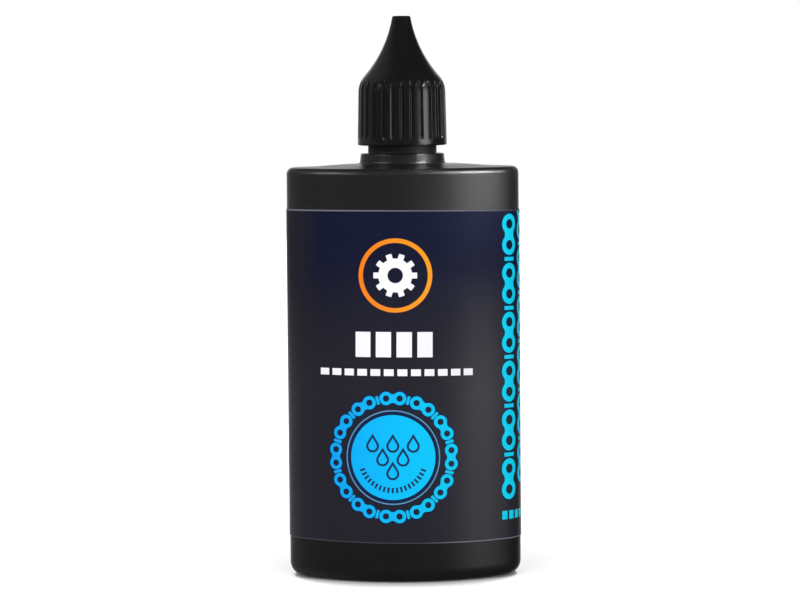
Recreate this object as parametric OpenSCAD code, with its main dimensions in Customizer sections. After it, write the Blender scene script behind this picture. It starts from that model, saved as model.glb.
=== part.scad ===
// A squeeze bottle for chain lubricant: an oval body, a pressed-in dropper, a screw cap and a wrap-round label.
// The origin is at the middle of the base, +Z is up and the front of the label faces -Y.

/* [Body] */
// Width of the oval body, across the front
body_w = 52; // [46:0.5:60]
// Depth of the oval body, front to back
body_d = 32; // [28:0.5:36]
// Radius of the body's rounded ends, seen from above
end_r = 10; // [7:0.5:12]
// Height of the shoulder above the base
shoulder_z = 92.3; // [80:0.1:110]
// Wall thickness of the body
wall = 1; // [0.7:0.1:1.4]
// Radius between the walls and the base
base_round = 3.2; // [2:0.1:4.5]
// Radius between the walls and the shoulder
shoulder_round = 1.8; // [1.5:0.1:3]
// How far the middle of the shoulder rises towards the neck
shoulder_rise = 0.9; // [0.5:0.1:1.5]
// Width of the level rim round the shoulder
shoulder_rim = 5; // [3:0.1:5.5]
// Width of the ring that the bottle stands on, rounding included
standing_ring = 6.4; // [5.2:0.1:8]
// How far the middle of the base is pushed up
push_up = 1.2; // [0.6:0.1:2]

/* [Neck] */
// Outside diameter of the neck
neck_d = 15.4; // [14.8:0.1:16]
// Wall thickness of the neck
neck_wall = 1.9; // [1.4:0.1:2.2]
// Height of the neck's rim above the collar
neck_h = 13.3; // [11:0.1:14.5]
// How far the collar under the cap stands out from the neck
collar_out = 1.65; // [1.4:0.05:2]
// Height of the collar above the shoulder's middle
collar_h = 2.1; // [1.6:0.1:3]
// Radius of the hollow between the collar and the shoulder
collar_fillet = 0.7; // [0.4:0.1:1]
// How far the screw thread stands out from the neck
thread_depth = 1.15; // [0.9:0.05:1.3]
// Pitch of the screw thread
thread_pitch = 3.2; // [2.8:0.1:3.6]
// Number of turns of the screw thread
thread_turns = 1.5; // [1:0.25:2]
// Width of the thread at its crest
thread_crest_w = 0.6; // [0.4:0.1:0.8]
// Width of the thread at its root
thread_root_w = 1.5; // [1.2:0.1:1.8]
// Gap between the neck's rim and the first turn of the thread
thread_start = 1.1; // [0.8:0.1:1.6]

/* [Dropper insert] */
// Length of the plug inside the neck
plug_len = 7; // [5:0.5:9]
// Wall thickness of the plug
plug_wall = 1; // [0.8:0.1:1.2]
// Clearance between the plug and the neck, on the radius
plug_gap = 0.1; // [0.05:0.05:0.2]
// How far each sealing bead presses into the neck, on the radius
bead_press = 0.08; // [0.02:0.02:0.14]
// Height of one sealing bead
bead_h = 0.8; // [0.6:0.1:1]
// Number of sealing beads on the plug
bead_count = 2; // [1:1:3]
// How far the flange on the neck's rim stops short of the neck's outside
flange_inset = 0.5; // [0.2:0.1:0.8]
// Thickness of the flange
flange_t = 0.9; // [0.7:0.1:1.2]
// Width of the flange's step round the foot of the nozzle
nozzle_step = 2; // [1.6:0.1:2.4]
// Wall thickness of the nozzle at its tip
nozzle_tip_wall = 1; // [0.8:0.1:1.2]
// Height of the nozzle above the flange
nozzle_h = 11.8; // [9:0.1:12.4]
// Diameter of the drop hole in the tip
orifice_d = 1.2; // [1:0.1:1.4]
// Length of the drop hole
orifice_len = 1.8; // [1:0.1:3]
// Wall thickness of the nozzle at the flange
nozzle_wall = 1.2; // [1:0.1:1.6]

/* [Cap] */
// Thickness of the solid tip above the cap's hollow
tip_solid = 3.2; // [2:0.1:5]
// Wall thickness of the skirt where it meets the cap's shoulder
skirt_wall = 0.8; // [0.7:0.05:1.2]
// How far the skirt widens towards its mouth, on the radius
skirt_draft = 0.25; // [0.1:0.05:0.4]
// Gap between the collar and the cap's skirt
cap_gap = 2; // [1.5:0.1:2.5]
// How far below the seat in the cap its rounded shoulder starts
shoulder_drop = 0.55; // [0:0.05:1]
// Radius of the cap's rounded shoulder
cap_round = 5.6; // [4.5:0.1:6.5]
// Radius of the hollow flank of the cap's spire
flank_r = 26.8; // [24:0.1:32]
// Diameter of the flat on the cap's tip
tip_flat_d = 3.4; // [2.6:0.1:3.6]
// Radius of the edge round the cap's tip
tip_round = 0.4; // [0.2:0.1:0.6]
// Wall thickness of the spire
cap_wall = 1.1; // [0.9:0.1:1.3]
// Radius of the edge round the mouth of the cap
cap_edge = 0.3; // [0.1:0.1:0.5]
// Width of the land in the cap that closes on the dropper's flange
seat_w = 0.8; // [0.5:0.1:1.2]
// Clearance between the thread's crest and the bore of the cap, on the radius
thread_gap = 0.15; // [0.1:0.05:0.25]
// Clearance between the dropper's flange and the seat in the cap
seat_gap = 0.05; // [0.02:0.01:0.2]
// Clearance between the closing pin and the drop hole, on the radius
pin_gap = 0.15; // [0.1:0.05:0.25]
// How far the closing pin reaches into the drop hole
pin_reach = 1; // [0.5:0.1:1.5]
// Number of grip grooves round the skirt
groove_count = 28; // [20:1:36]
// Width of one grip groove
groove_w = 0.9; // [0.6:0.1:1.2]
// Depth of one grip groove
groove_depth = 0.35; // [0.2:0.05:0.4]
// Height of the plain band below the grooves
plain_band = 1.3; // [0.8:0.1:2.5]

/* [Label] */
// Height of the label's lower edge above the base
label_z = 9; // [6:0.1:14]
// Distance from the label's upper edge to the shoulder
label_top_gap = 9.8; // [4:0.1:20]
// Thickness of the label film
label_t = 0.12; // [0.08:0.01:0.2]
// Thickness of the glue under the label
glue_t = 0.03; // [0.02:0.01:0.05]
// Width of the gap between the label's two ends, at the middle of the back
seam_gap = 1.2; // [0.5:0.1:3]

/* [Hidden] */

$fn = 96;
// A short overlap that carries a cut clear of the face it starts from
cut = 1;
// Number of straight pieces in each rounded stretch of an outline
round_steps = 10;
// Number of straight pieces in the oval's front and back, in its ends, and in the body's upright roundings
broad_steps = 16;
end_steps = 10;
corner_steps = 5;

// The oval is four arcs: broad ones for the front and back, and small ones for the ends
end_x = body_w / 2 - end_r;
front_r = (pow(body_w / 2, 2) - body_w * end_r + pow(body_d / 2, 2)) / (body_d - 2 * end_r);
front_offset = front_r - body_d / 2;
front_angle = atan(end_x / front_offset);
end_angle = 90 - front_angle;

neck_r = neck_d / 2;
bore_r = neck_r - neck_wall;
collar_r = neck_r + collar_out;
neck_foot_z = shoulder_z + shoulder_rise;
collar_z = neck_foot_z + collar_h;
rim_z = collar_z + neck_h;

thread_r = neck_r + thread_depth;
// How deep the thread's foot is sunk into the neck
thread_sink = 0.4;
// Steps in one turn of the thread, and the turning angle over which each end fades away
thread_steps = 24;
thread_fade = 60;

plug_r = bore_r - plug_gap;
bead_r = bore_r + bead_press;
plug_bore_r = plug_r - plug_wall;
flange_r = neck_r - flange_inset;
flange_z = rim_z + flange_t;
orifice_r = orifice_d / 2;
nozzle_base_r = flange_r - nozzle_step;
nozzle_z = flange_z + nozzle_h;

cap_z = collar_z + cap_gap;
cap_bore_r = thread_r + thread_gap;
cap_top_r = cap_bore_r + skirt_wall;
cap_mouth_r = cap_top_r + skirt_draft;
seat_z = flange_z + seat_gap;
skirt_z = seat_z - shoulder_drop;
hollow_top_z = nozzle_z + cap_wall + pin_reach / 2;
cap_tip_z = hollow_top_z + tip_solid;

// The cap's shoulder is an arc that touches the skirt, and its flank a hollow arc from the tip to that shoulder
round_centre = [cap_top_r - cap_round, skirt_z];
tip_centre = [tip_flat_d / 2, cap_tip_z - tip_round];
flank_centre = meet(tip_centre + [tip_round, 0], flank_r, round_centre, flank_r + cap_round);
flank_low = direction(round_centre, flank_centre);
flank_high = asin((flank_centre.y - tip_centre.y) / flank_r);

// The spire's hollow keeps an even wall, down to the land that closes on the dropper
hollow_r = flank_r + cap_wall;
land_r = flange_r - seat_w;
hollow_low = acos((flank_centre.x - land_r) / hollow_r);
hollow_high = asin((flank_centre.y - hollow_top_z) / hollow_r);
pin_r = orifice_r - pin_gap;
groove_z = cap_z + plain_band;
// Angles round the cap's shoulder at which a groove starts to run out, and at which it ends
groove_fade = 18;
groove_end = 31;
label_h = shoulder_z - label_top_gap - label_z;

// Points of an arc, from one angle to another
function arc(centre, r, from, to, steps = round_steps) =
    [for (i = [0 : steps]) let (a = from + (to - from) * i / steps) centre + r * [cos(a), sin(a)]];

// The same points without the last, for an outline that goes on
function open_arc(centre, r, from, to, steps) =
    [for (i = [0 : steps - 1]) let (a = from + (to - from) * i / steps) centre + r * [cos(a), sin(a)]];

// Angle of the direction from one point to another
function direction(from, to) = atan2(to.y - from.y, to.x - from.x);

// Point at distance a from p and distance b from q, on the right of the way from p to q
function meet(p, a, q, b) =
    let (d = norm(q - p), along = (a * a - b * b + d * d) / (2 * d), across = sqrt(a * a - along * along))
    let (u = (q - p) / d)
    p + along * u + across * [-u.y, u.x];

// Outline of the oval as points, pulled in by inset
function oval_points(inset) =
    let (small = max(end_r - inset, 0.2), broad = front_r - end_r + small)
    concat(
        open_arc([0, front_offset], broad, -90 - front_angle, -90 + front_angle, broad_steps),
        open_arc([end_x, 0], small, -end_angle, end_angle, end_steps),
        open_arc([0, -front_offset], broad, 90 - front_angle, 90 + front_angle, broad_steps),
        open_arc([-end_x, 0], small, 180 - end_angle, 180 + end_angle, end_steps)
    );

// The oval at a height, and a circle with as many points
function oval_at(inset, z) = [for (p = oval_points(inset)) [p.x, p.y, z]];
function circle_at(r, z) = [for (p = oval_points(0)) [r * p.x / norm(p), r * p.y / norm(p), z]];

// Sections of the body from the raised middle of the base, out, up and over to a circle at the neck's foot
function body_sections(inset, foot_r) =
    let (base = arc([base_round, base_round], base_round - inset, 270, 180, corner_steps))
    let (top = arc([shoulder_round, shoulder_z - shoulder_round], shoulder_round - inset, 180, 90, corner_steps))
    concat(
        [oval_at(standing_ring + push_up - inset / 2, push_up + inset), oval_at(standing_ring - inset / 2, inset)],
        [for (p = concat(base, top)) oval_at(p.x, p.y)],
        [oval_at(shoulder_rim + inset, shoulder_z - inset), circle_at(foot_r, neck_foot_z)]
    );

// Radius of the cap's skirt at a height
function skirt_r(z) = cap_mouth_r - skirt_draft * (z - cap_z) / (skirt_z - cap_z);

// Solid through a stack of sections that have as many points each
module loft(sections) {
    n = len(sections[0]);
    last = n * (len(sections) - 1);
    sides = [for (i = [0 : len(sections) - 2], j = [0 : n - 1])
        let (a = n * i + j, b = n * i + (j + 1) % n)
        each [[a, a + n, b], [b, a + n, b + n]]];
    ends = [[for (j = [0 : n - 1]) j], [for (j = [n - 1 : -1 : 0]) last + j]];
    polyhedron([for (section = sections) each section], concat(sides, ends));
}

// Solid outside of the collar and neck, with the hollow at the collar's foot
module neck_outside() {
    foot_r = collar_r + collar_fillet;
    rotate_extrude() polygon(concat(
        [[0, shoulder_z - wall / 2], [collar_r, shoulder_z - wall / 2], [collar_r, neck_foot_z]],
        arc([foot_r, neck_foot_z + collar_fillet], collar_fillet, 270, 180),
        [[collar_r, collar_z], [neck_r, collar_z], [neck_r, rim_z], [0, rim_z]]
    ));
}

// Right-hand thread on the neck, rising as it turns and fading away at both ends
module neck_thread() {
    low_z = rim_z - thread_start - thread_root_w / 2 - thread_pitch * thread_turns;
    sweep = 360 * thread_turns;
    count = ceil(thread_steps * thread_turns);
    rings = [for (i = [0 : count])
        let (a = sweep * i / count, fade = min(1, a / thread_fade, (sweep - a) / thread_fade))
        let (z = low_z + thread_pitch * a / 360, crest = neck_r + (thread_r - neck_r) * fade)
        [for (p = [
            [neck_r - thread_sink, z - thread_root_w / 2], [neck_r - thread_sink, z + thread_root_w / 2],
            [crest, z + thread_crest_w / 2], [crest, z - thread_crest_w / 2]
        ]) [p.x * cos(a), p.x * sin(a), p.y]]];
    loft(rings);
}

module bottle() {
    color("#262628") difference() {
        union() {
            loft(body_sections(0, collar_r + 2 * collar_fillet));
            neck_outside();
            neck_thread();
        }
        loft(body_sections(wall, bore_r + wall / 2));
        translate([0, 0, shoulder_z]) cylinder(h = rim_z - shoulder_z + cut, r = bore_r);
    }
}

module dropper_insert() {
    plug_z = rim_z - plug_len;
    lead = plug_gap + bead_press;
    bead_step = plug_len / (bead_count + 1);
    beads = [for (i = [1 : bead_count]) let (z = plug_z + i * bead_step)
        each [[plug_r, z - bead_h / 2], [bead_r, z - bead_h / 2 + lead], [bead_r, z + bead_h / 2 - lead],
            [plug_r, z + bead_h / 2]]];
    color("#d9d8d2") rotate_extrude() polygon(concat(
        [[plug_bore_r, plug_z], [plug_r, plug_z]],
        beads,
        [[plug_r, rim_z], [flange_r, rim_z], [flange_r, flange_z], [nozzle_base_r, flange_z]],
        [[orifice_r + nozzle_tip_wall, nozzle_z], [orifice_r, nozzle_z], [orifice_r, nozzle_z - orifice_len]],
        [[nozzle_base_r - nozzle_wall, flange_z], [plug_bore_r, rim_z]]
    ));
}

// The cap's whole outside, before the hollow and the grooves
module cap_outside() {
    rotate_extrude() polygon(concat(
        [[0, cap_z]],
        arc([cap_mouth_r - cap_edge, cap_z + cap_edge], cap_edge, -90, 0),
        arc(round_centre, cap_round, 0, flank_low),
        arc(flank_centre, flank_r, 180 + flank_low, 180 + flank_high, 2 * round_steps),
        arc(tip_centre, tip_round, 0, 90),
        [[0, cap_tip_z]]
    ));
}

// The hollow that takes the neck, and above it the one that takes the nozzle
module cap_inside() {
    rotate_extrude() polygon(concat(
        [[0, cap_z - cut], [cap_bore_r, cap_z - cut], [cap_bore_r, seat_z], [land_r, seat_z]],
        arc(flank_centre, hollow_r, 180 + hollow_low, 180 + hollow_high),
        [[0, hollow_top_z]]
    ));
}

// Upright outline of one grip groove, which runs out on the cap's shoulder
module groove_outline() {
    outer = cap_mouth_r + cut;
    end = round_centre + cap_round * [cos(groove_end), sin(groove_end)];
    polygon(concat(
        [[outer, groove_z], [skirt_r(groove_z) - groove_depth, groove_z]],
        arc(round_centre, cap_round - groove_depth, 0, groove_fade),
        [end, [outer, end.y]]
    ));
}

module cap() {
    color("#2a2a2c") {
        difference() {
            cap_outside();
            cap_inside();
            for (i = [0 : groove_count - 1])
                rotate([90, 0, 360 * (i + 0.5) / groove_count])
                    linear_extrude(groove_w, center = true) groove_outline();
        }
        translate([0, 0, nozzle_z - pin_reach]) cylinder(h = hollow_top_z + cut - nozzle_z + pin_reach, r = pin_r);
    }
}

module label() {
    color("#24253a") translate([0, 0, label_z]) linear_extrude(label_h) difference() {
        polygon(oval_points(-glue_t - label_t));
        polygon(oval_points(-glue_t));
        translate([-seam_gap / 2, 0]) square([seam_gap, body_d]);
    }
}

bottle();
dropper_insert();
cap();
label();
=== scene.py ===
"""The looks of a chain lube bottle: oval bottle, dropper, ribbed screw cap and printed wrap-round label.

Sizes are in millimetres and become metres where a mesh is made. The front of the label faces -Y.
"""

import logging
import math
from collections.abc import Iterable, Sequence
from dataclasses import dataclass, field
from enum import Enum
from functools import cached_property

import bmesh
import bpy
import numpy as np
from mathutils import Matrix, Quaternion, Vector


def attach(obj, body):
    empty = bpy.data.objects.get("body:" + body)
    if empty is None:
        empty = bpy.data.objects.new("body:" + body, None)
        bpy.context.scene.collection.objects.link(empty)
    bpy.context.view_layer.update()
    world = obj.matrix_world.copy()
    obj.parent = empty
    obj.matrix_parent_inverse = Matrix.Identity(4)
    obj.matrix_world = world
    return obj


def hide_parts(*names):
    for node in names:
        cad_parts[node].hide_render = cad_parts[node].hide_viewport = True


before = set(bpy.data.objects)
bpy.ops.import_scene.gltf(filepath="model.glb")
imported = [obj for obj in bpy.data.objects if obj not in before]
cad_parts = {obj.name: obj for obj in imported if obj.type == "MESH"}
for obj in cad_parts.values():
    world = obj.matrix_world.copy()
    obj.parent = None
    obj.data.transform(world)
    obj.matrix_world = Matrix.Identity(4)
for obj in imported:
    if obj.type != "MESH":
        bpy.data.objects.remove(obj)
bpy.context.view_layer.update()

MM = 0.001
LOG = logging.getLogger("bottle")

Colour = tuple[float, float, float]
Outline = list[complex]
Spot = tuple[float, float, float]


def srgb(red: int, green: int, blue: int) -> Colour:
    """Linear colour from 8-bit screen values."""
    parts = (red / 255, green / 255, blue / 255)
    return tuple(c / 12.92 if c <= 0.04045 else ((c + 0.055) / 1.055) ** 2.4 for c in parts)


# outlines and skins


def arc(centre: complex, radius: float, start: float, end: float, steps: int) -> Outline:
    """Points of an arc, its angles in degrees."""
    angles = np.radians(np.linspace(start, end, steps + 1))
    return list(centre + radius * np.exp(1j * angles))


def rounded(
    corners: Sequence[Spot], closed: bool = False, steps: int = 5, hold: float = 0.2
) -> Outline:
    """Outline through corners, each rounded by its own radius.

    Args:
        corners: two coordinates and a rounding radius for each corner.
        closed: whether the outline returns to its first corner.
        steps: straight pieces in one rounding.
        hold: distance of the extra point that keeps a straight stretch flat beside a rounding.

    Returns:
        The points of the outline.
    """
    points = []
    for i, (x, y, radius) in enumerate(corners):
        here = complex(x, y)
        if radius == 0 or (not closed and i in (0, len(corners) - 1)):
            points.append(here)
            continue
        before, after = complex(*corners[i - 1][:2]), complex(*corners[(i + 1) % len(corners)][:2])
        way_in, way_out = (here - before) / abs(here - before), (after - here) / abs(after - here)
        turn = np.angle(way_out / way_in)
        reach = radius * math.tan(abs(turn) / 2)
        side = 1j * math.copysign(1, turn) * way_in
        centre = here - way_in * reach + side * radius
        if abs(here - before) > reach + 2.5 * hold:
            points.append(here - way_in * (reach + hold))
        points += [centre - side * radius * np.exp(1j * turn * k / steps) for k in range(steps + 1)]
        if abs(after - here) > reach + 2.5 * hold:
            points.append(here + way_out * (reach + hold))
    return points


def meet(p: complex, a: float, q: complex, b: float) -> complex:
    """Point where two circles meet.

    Args:
        p: centre of the first circle.
        a: its radius.
        q: centre of the second circle.
        b: its radius.

    Returns:
        The point on the left of the way from p to q.
    """
    way = q - p
    along = (a * a - b * b + abs(way) ** 2) / (2 * abs(way))
    return p + (along + 1j * math.sqrt(a * a - along * along)) * way / abs(way)


def skin(name: str, rings: Sequence[np.ndarray], closed: bool = False) -> bpy.types.Object:
    """Closed skin over a stack of rings.

    Args:
        name: name of the piece.
        rings: arrays of points in millimetres; a ring of one point closes an end.
        closed: whether the last ring joins the first.

    Returns:
        The smooth-shaded piece, in metres.
    """
    starts = np.cumsum([0] + [len(ring) for ring in rings])
    faces = []
    pairs = [(i, i + 1) for i in range(len(rings) - 1)] + ([(len(rings) - 1, 0)] if closed else [])
    for low, high in pairs:
        a, b, n, m = starts[low], starts[high], len(rings[low]), len(rings[high])
        for j in range(max(n, m)):
            k = (j + 1) % max(n, m)
            if n == 1:
                faces.append((a, b + k, b + j))
            elif m == 1:
                faces.append((a + j, a + k, b))
            else:
                faces.append((a + j, a + k, b + k, b + j))
    return solid(name, np.concatenate(rings), faces)


def linked(name: str, data: bpy.types.ID) -> bpy.types.Object:
    """New object in the scene.

    Args:
        name: name of the object.
        data: its mesh, camera or lamp.

    Returns:
        The object, at the origin.
    """
    made = bpy.data.objects.new(name, data)
    bpy.context.scene.collection.objects.link(made)
    return made


def solid(name: str, points: np.ndarray, faces: Iterable[Sequence[int]]) -> bpy.types.Object:
    """Smooth-shaded piece from points and faces.

    Args:
        name: name of the piece.
        points: its points in millimetres.
        faces: the points of each face, by number.

    Returns:
        The piece, in metres.
    """
    mesh = bpy.data.meshes.new(name)
    places = (np.asarray(points, float) * MM).tolist()
    mesh.from_pydata(places, [], [tuple(int(i) for i in face) for face in faces])
    mesh.validate()
    mesh.shade_smooth()
    return linked(name, mesh)


def turned(name: str, outline: Outline, steps: int = 128, closed: bool = False) -> bpy.types.Object:
    """Piece turned round the Z axis.

    Args:
        name: name of the piece.
        outline: points whose real part is the radius and whose imaginary part is the height.
        steps: points round the axis.
        closed: whether the outline returns to its first point.

    Returns:
        The piece.
    """
    angles = np.arange(steps) * 2 * math.pi / steps
    rings = [circle(p.real, p.imag, angles) if p.real > 1e-6 else np.array([[0, 0, p.imag]]) for p in outline]
    return skin(name, rings, closed)


def circle(radius: float, height: float, angles: np.ndarray) -> np.ndarray:
    """Ring of points at a height."""
    return np.column_stack((radius * np.cos(angles), radius * np.sin(angles), np.full(len(angles), height)))


@dataclass(frozen=True)
class Oval:
    """The body seen from above: broad arcs at the front and back, small ones at the ends."""

    width: float = 52.2
    depth: float = 32.0
    end_r: float = 10.0
    broad_steps: int = 56
    end_steps: int = 32

    @property
    def end_x(self) -> float:
        """Distance of an end arc's centre from the middle."""
        return self.width / 2 - self.end_r

    @cached_property
    def front_r(self) -> float:
        """Radius of the broad arcs."""
        squares = (self.width / 2) ** 2 + (self.depth / 2) ** 2
        return (squares - self.width * self.end_r) / (self.depth - 2 * self.end_r)

    @property
    def offset(self) -> float:
        """Distance of a broad arc's centre from the middle."""
        return self.front_r - self.depth / 2

    @cached_property
    def turn(self) -> float:
        """Half the angle of a broad arc."""
        return math.atan(self.end_x / self.offset)

    @property
    def half_length(self) -> float:
        """Length of the outline from the middle of the front round to the middle of the back."""
        return 2 * self.front_r * self.turn + self.end_r * (math.pi - 2 * self.turn)

    def ring(self, inset: float, height: float = 0) -> np.ndarray:
        """The outline as a ring of points.

        Args:
            inset: how far it is pulled in.
            height: height of its points.

        Returns:
            The points, from the left end of the front arc.
        """
        small = max(self.end_r - inset, 0.2)
        broad, rest = self.front_r - self.end_r + small, math.pi / 2 - self.turn
        arcs = (
            (1j * self.offset, broad, -math.pi / 2 - self.turn, 2 * self.turn, self.broad_steps),
            (self.end_x, small, -rest, 2 * rest, self.end_steps),
            (-1j * self.offset, broad, math.pi / 2 - self.turn, 2 * self.turn, self.broad_steps),
            (-self.end_x, small, math.pi - rest, 2 * rest, self.end_steps),
        )
        points = np.concatenate([
            centre + radius * np.exp(1j * (start + sweep * np.arange(steps) / steps))
            for centre, radius, start, sweep, steps in arcs
        ])
        return np.column_stack((points.real, points.imag, np.full(len(points), height)))

    def bearings(self) -> np.ndarray:
        """Angle of each point of a ring, seen from the middle."""
        points = self.ring(0)
        return np.arctan2(points[:, 1], points[:, 0])

    def walk(self, distance: float, out: float) -> complex:
        """Point at a distance along the outline from the middle of the front, moved outwards.

        Args:
            distance: way along the outline, positive to the right.
            out: how far the point lies outside the outline.

        Returns:
            The point, seen from above.
        """
        way, rest = abs(distance), math.pi / 2 - self.turn
        broad, end = self.front_r * self.turn, 2 * self.end_r * rest
        if way < broad:
            centre, radius, angle = 1j * self.offset, self.front_r, way / self.front_r - math.pi / 2
        elif way < broad + end:
            centre, radius, angle = self.end_x, self.end_r, (way - broad) / self.end_r - rest
        else:
            centre, radius, angle = -1j * self.offset, self.front_r, rest + (way - broad - end) / self.front_r
        point = centre + (radius + out) * np.exp(1j * angle)
        return complex(math.copysign(point.real, distance) if distance else point.real, point.imag)


# node trees


class Socket:
    """A node's output, on which Python's operators build Math nodes."""

    def __init__(self, graph: "Graph", link: bpy.types.NodeSocket) -> None:
        """Wraps an output of one of the graph's nodes."""
        self.graph, self.link = graph, link

    def _math(self, operation: str, *values: "Value") -> "Socket":
        """Math node on values."""
        return self.graph.node("ShaderNodeMath", {"operation": operation}, dict(enumerate(values)))[0]

    def __add__(self, other: "Value") -> "Socket":
        """self + other"""
        return self._math("ADD", self, other)

    def __sub__(self, other: "Value") -> "Socket":
        """self - other"""
        return self._math("SUBTRACT", self, other)

    def __rsub__(self, other: "Value") -> "Socket":
        """other - self"""
        return self._math("SUBTRACT", other, self)

    def __mul__(self, other: "Value") -> "Socket":
        """self * other"""
        return self._math("MULTIPLY", self, other)

    def __truediv__(self, other: "Value") -> "Socket":
        """self / other"""
        return self._math("DIVIDE", self, other)

    def __mod__(self, other: "Value") -> "Socket":
        """Remainder of self by other, never negative."""
        return self._math("FLOORED_MODULO", self, other)

    def __gt__(self, other: "Value") -> "Socket":
        """1 where self is over other, else 0."""
        return self._math("GREATER_THAN", self, other)

    def __lt__(self, other: "Value") -> "Socket":
        """1 where self is under other, else 0."""
        return self._math("LESS_THAN", self, other)

    def __neg__(self) -> "Socket":
        """-self"""
        return self * -1

    __radd__, __rmul__ = __add__, __mul__

    def __abs__(self) -> "Socket":
        """Size of self without its sign."""
        return self._math("ABSOLUTE", self)

    def cos(self) -> "Socket":
        """Cosine of self."""
        return self._math("COSINE", self)

    def sin(self) -> "Socket":
        """Sine of self."""
        return self._math("SINE", self)

    def clamp(self) -> "Socket":
        """Self, held between 0 and 1."""
        return self.graph.node("ShaderNodeClamp", {}, {0: self})[0]

    def smaller(self, other: "Value") -> "Socket":
        """The smaller of self and other."""
        return self._math("MINIMUM", self, other)

    def larger(self, other: "Value") -> "Socket":
        """The larger of self and other."""
        return self._math("MAXIMUM", self, other)

    def hypot(self, other: "Socket") -> "Socket":
        """Length of the vector (self, other)."""
        return self._math("SQRT", self * self + other * other)

    def bearing(self, other: "Socket") -> "Socket":
        """Angle of the vector (self, other)."""
        return self._math("ARCTAN2", other, self)

    def fold(self, pitch: float, middle: float = 0.0) -> "Socket":
        """Self repeated every pitch, with 0 at middle."""
        return (self - (middle - pitch / 2)) % pitch - pitch / 2

    def inside(self, soft: float = 0.05) -> "Socket":
        """1 where this distance is negative, else 0, with a soft step."""
        return (0.5 - self / soft).clamp()


Value = Socket | float | int | Sequence[float] | bpy.types.Material


class Graph:
    """A node tree that is built by expressions."""

    def __init__(self, tree: bpy.types.NodeTree) -> None:
        """Wraps a tree."""
        self.tree = tree

    @classmethod
    def fresh(cls, owner: bpy.types.Material | bpy.types.World) -> "Graph":
        """Starts a shader tree.

        Args:
            owner: material or world, whose own nodes are removed.

        Returns:
            Its tree, empty.
        """
        owner.use_nodes = True
        owner.node_tree.nodes.clear()
        return cls(owner.node_tree)

    def node(
        self, kind: str, settings: dict | None = None, inputs: dict[int | str, Value] | None = None
    ) -> list[Socket]:
        """Adds a node.

        Args:
            kind: the node's type.
            settings: its own properties, set first.
            inputs: values or links of its sockets, by number or identifier.

        Returns:
            The node's enabled outputs.
        """
        made = self.tree.nodes.new(kind)
        for key, value in (settings or {}).items():
            setattr(made, key, value)
        named = {socket.identifier: socket for socket in made.inputs}
        for key, value in (inputs or {}).items():
            socket = made.inputs[key] if isinstance(key, int) else named[key]
            if isinstance(value, Socket):
                self.tree.links.new(value.link, socket)
            elif socket.type == "RGBA" and len(value) == 3:
                socket.default_value = (*value, 1.0)
            else:
                socket.default_value = value
        return [Socket(self, output) for output in made.outputs if output.enabled]

    def mix(self, factor: Value, below: Value, above: Value) -> Socket:
        """Colour that goes from below to above with the factor."""
        inputs = {"Factor_Float": factor, "A_Color": below, "B_Color": above}
        return self.node("ShaderNodeMix", {"data_type": "RGBA"}, inputs)[0]

    def split(self, vector: Socket) -> list[Socket]:
        """The three parts of a vector."""
        return self.node("ShaderNodeSeparateXYZ", {}, {0: vector})

    def noise(self, at: Socket, scale: float, detail: float = 2.0) -> Socket:
        """Even noise from 0 to 1, of scale cells a metre."""
        return self.node("ShaderNodeTexNoise", {}, {"Vector": at, "Scale": scale, "Detail": detail})[0]


# finishes


@dataclass(frozen=True)
class Plastic:
    """A moulded plastic with a fine grain and slightly uneven gloss; its depths are in metres."""

    name: str
    colour: Colour
    roughness: float
    gloss_spread: float = 0.05
    grain: float = 3200.0
    grain_depth: float = 0.00002
    wave_depth: float = 0.0
    speckle: float = 0.12
    specular: float = 0.5
    coat_roughness: float = 0.35
    subsurface: float = 0.0

    def colouring(self, graph: Graph, at: Socket) -> Socket:
        """Colour over the surface.

        Args:
            graph: the material's tree.
            at: place on the piece, in metres.

        Returns:
            The pigment, a little uneven.
        """
        cloud = graph.noise(at, 90.0, 3.0)
        pale = tuple(c * (1 + self.speckle) for c in self.colour)
        deep = tuple(c * (1 - self.speckle) for c in self.colour)
        return graph.mix(cloud, deep, pale)

    def gloss(self, graph: Graph, at: Socket) -> Socket:
        """Roughness over the surface."""
        return self.roughness + (graph.noise(at, 160.0, 4.0) - 0.5) * (2 * self.gloss_spread)

    def relief(self, graph: Graph, at: Socket) -> Socket:
        """Height of the surface in metres: the mould's grain and long shallow waves."""
        grain = graph.noise(at, self.grain, 1.0) * self.grain_depth
        return grain + graph.noise(at, 45.0, 1.0) * self.wave_depth

    def varnish(self, graph: Graph, at: Socket, colour: Socket) -> Value:
        """Weight of a clear coat; plain plastic has none."""
        return 0.0

    def material(self) -> bpy.types.Material:
        """Makes the material.

        Returns:
            The finish as a material.
        """
        made = bpy.data.materials.new(self.name)
        graph = Graph.fresh(made)
        at = graph.node("ShaderNodeTexCoord")[3]
        colour = self.colouring(graph, at)
        height = {"Strength": 1.0, "Distance": 1.0, "Height": self.relief(graph, at)}
        bump = graph.node("ShaderNodeBump", {}, height)[0]
        shader = graph.node("ShaderNodeBsdfPrincipled", {}, {
            "Base Color": colour,
            "Roughness": self.gloss(graph, at),
            "Normal": bump,
            "Specular IOR Level": self.specular,
            "Coat Weight": self.varnish(graph, at, colour),
            "Coat Roughness": self.coat_roughness,
            "Subsurface Weight": self.subsurface,
            "Subsurface Scale": 0.001,
        })[0]
        graph.node("ShaderNodeOutputMaterial", {}, {0: shader})
        return made


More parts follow.
